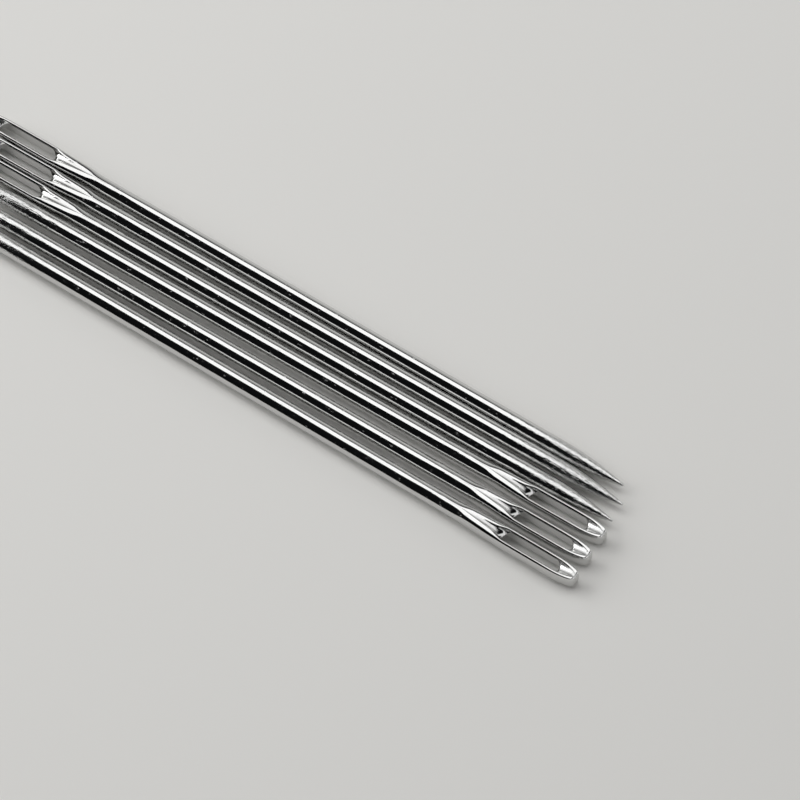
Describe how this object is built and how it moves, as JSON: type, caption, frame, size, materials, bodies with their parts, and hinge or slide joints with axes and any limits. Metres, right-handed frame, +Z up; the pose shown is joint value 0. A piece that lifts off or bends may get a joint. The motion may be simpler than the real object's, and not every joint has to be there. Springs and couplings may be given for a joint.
{
  "type": "upholstery needle set",
  "caption": "Straight round steel upholstery needles with ground points and long guttered eyes, laid side by side head to tail.",
  "frame": {"origin": "on the table under the middle of the whole set", "axes": "+X along the needles towards the points of the far three and the eyes of the near three, +Y across them towards the far side, +Z up"},
  "size_m": [0.1288, 0.0224, 0.003],
  "materials": {
    "polished_steel": "polished"
  },
  "bodies": {
    "needle_1": {"needle_1_shaft": "polished_steel", "needle_1_eye": "polished_steel"},
    "needle_2": {"needle_2_shaft": "polished_steel", "needle_2_eye": "polished_steel"},
    "needle_3": {"needle_3_shaft": "polished_steel", "needle_3_eye": "polished_steel"},
    "needle_4": {"needle_4_shaft": "polished_steel", "needle_4_eye": "polished_steel"},
    "needle_5": {"needle_5_shaft": "polished_steel", "needle_5_eye": "polished_steel"},
    "needle_6": {"needle_6_shaft": "polished_steel", "needle_6_eye": "polished_steel"}
  },
  "joints": [
    {"name": "needle_1_draw", "type": "slide", "parent": "needle_4", "child": "needle_1", "axis": [-1, 0, 0], "range_m": [0, 0.125]},
    {"name": "needle_2_draw", "type": "slide", "parent": "needle_4", "child": "needle_2", "axis": [-1, -0.0049, 0], "range_m": [0, 0.125]},
    {"name": "needle_3_draw", "type": "slide", "parent": "needle_4", "child": "needle_3", "axis": [-1, -0.0062, 0], "range_m": [0, 0.125]},
    {"name": "needle_5_draw", "type": "slide", "parent": "needle_4", "child": "needle_5", "axis": [1, 0.0008, 0], "range_m": [0, 0.125]},
    {"name": "needle_6_draw", "type": "slide", "parent": "needle_4", "child": "needle_6", "axis": [1, -0.0071, 0], "range_m": [0, 0.125]}
  ]
}
